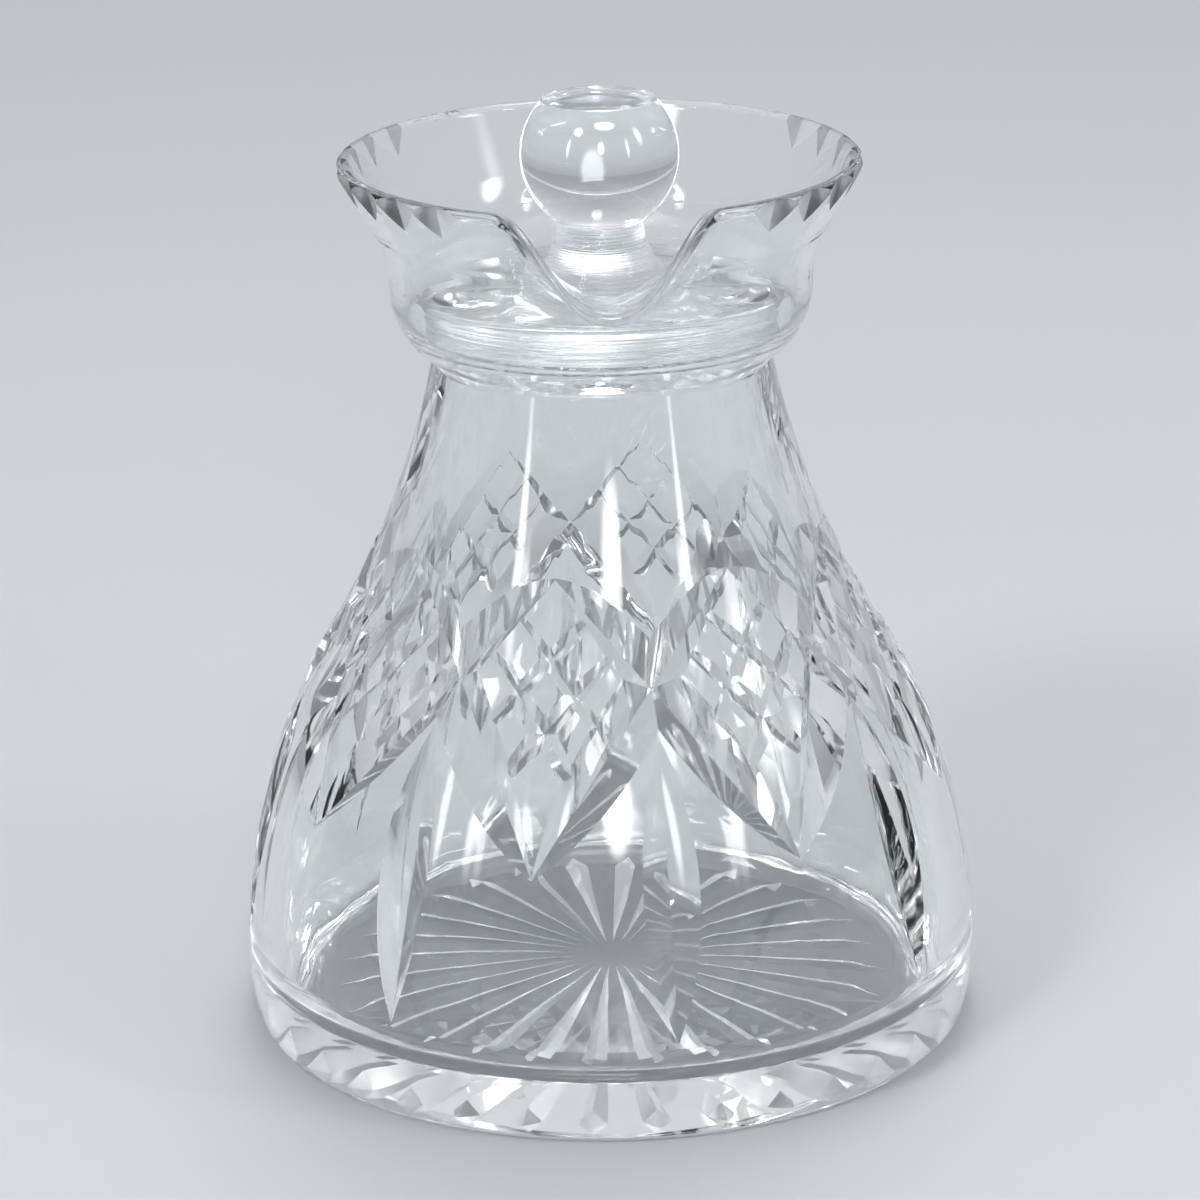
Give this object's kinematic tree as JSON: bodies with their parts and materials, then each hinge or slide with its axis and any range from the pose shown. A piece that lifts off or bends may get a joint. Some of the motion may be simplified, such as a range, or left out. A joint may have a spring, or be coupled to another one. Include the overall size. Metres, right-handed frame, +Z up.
{
  "type": "cut glass jug with lid",
  "caption": "Round-bellied cut glass jug with a narrow neck, flared notched mouth, pulled spout and a loose ground lid with a ball knob.",
  "frame": {"origin": "centre of the round base on the standing surface", "axes": "+Z up along the jug's axis, the spout points to -Y"},
  "size_m": [0.1444, 0.1444, 0.1827],
  "materials": {
    "jug_crystal": "clear polished lead crystal",
    "plate_crystal": "clear crystal with a finely ground edge",
    "knob_crystal": "clear polished crystal"
  },
  "bodies": {
    "jug": {"jug_body": "jug_crystal"},
    "lid": {"lid_plate": "plate_crystal", "lid_knob": "knob_crystal"}
  },
  "joints": [
    {"name": "lid_lift", "type": "slide", "parent": "jug", "child": "lid", "axis": [0, 0, 1], "range_m": [0, 0.045]}
  ]
}
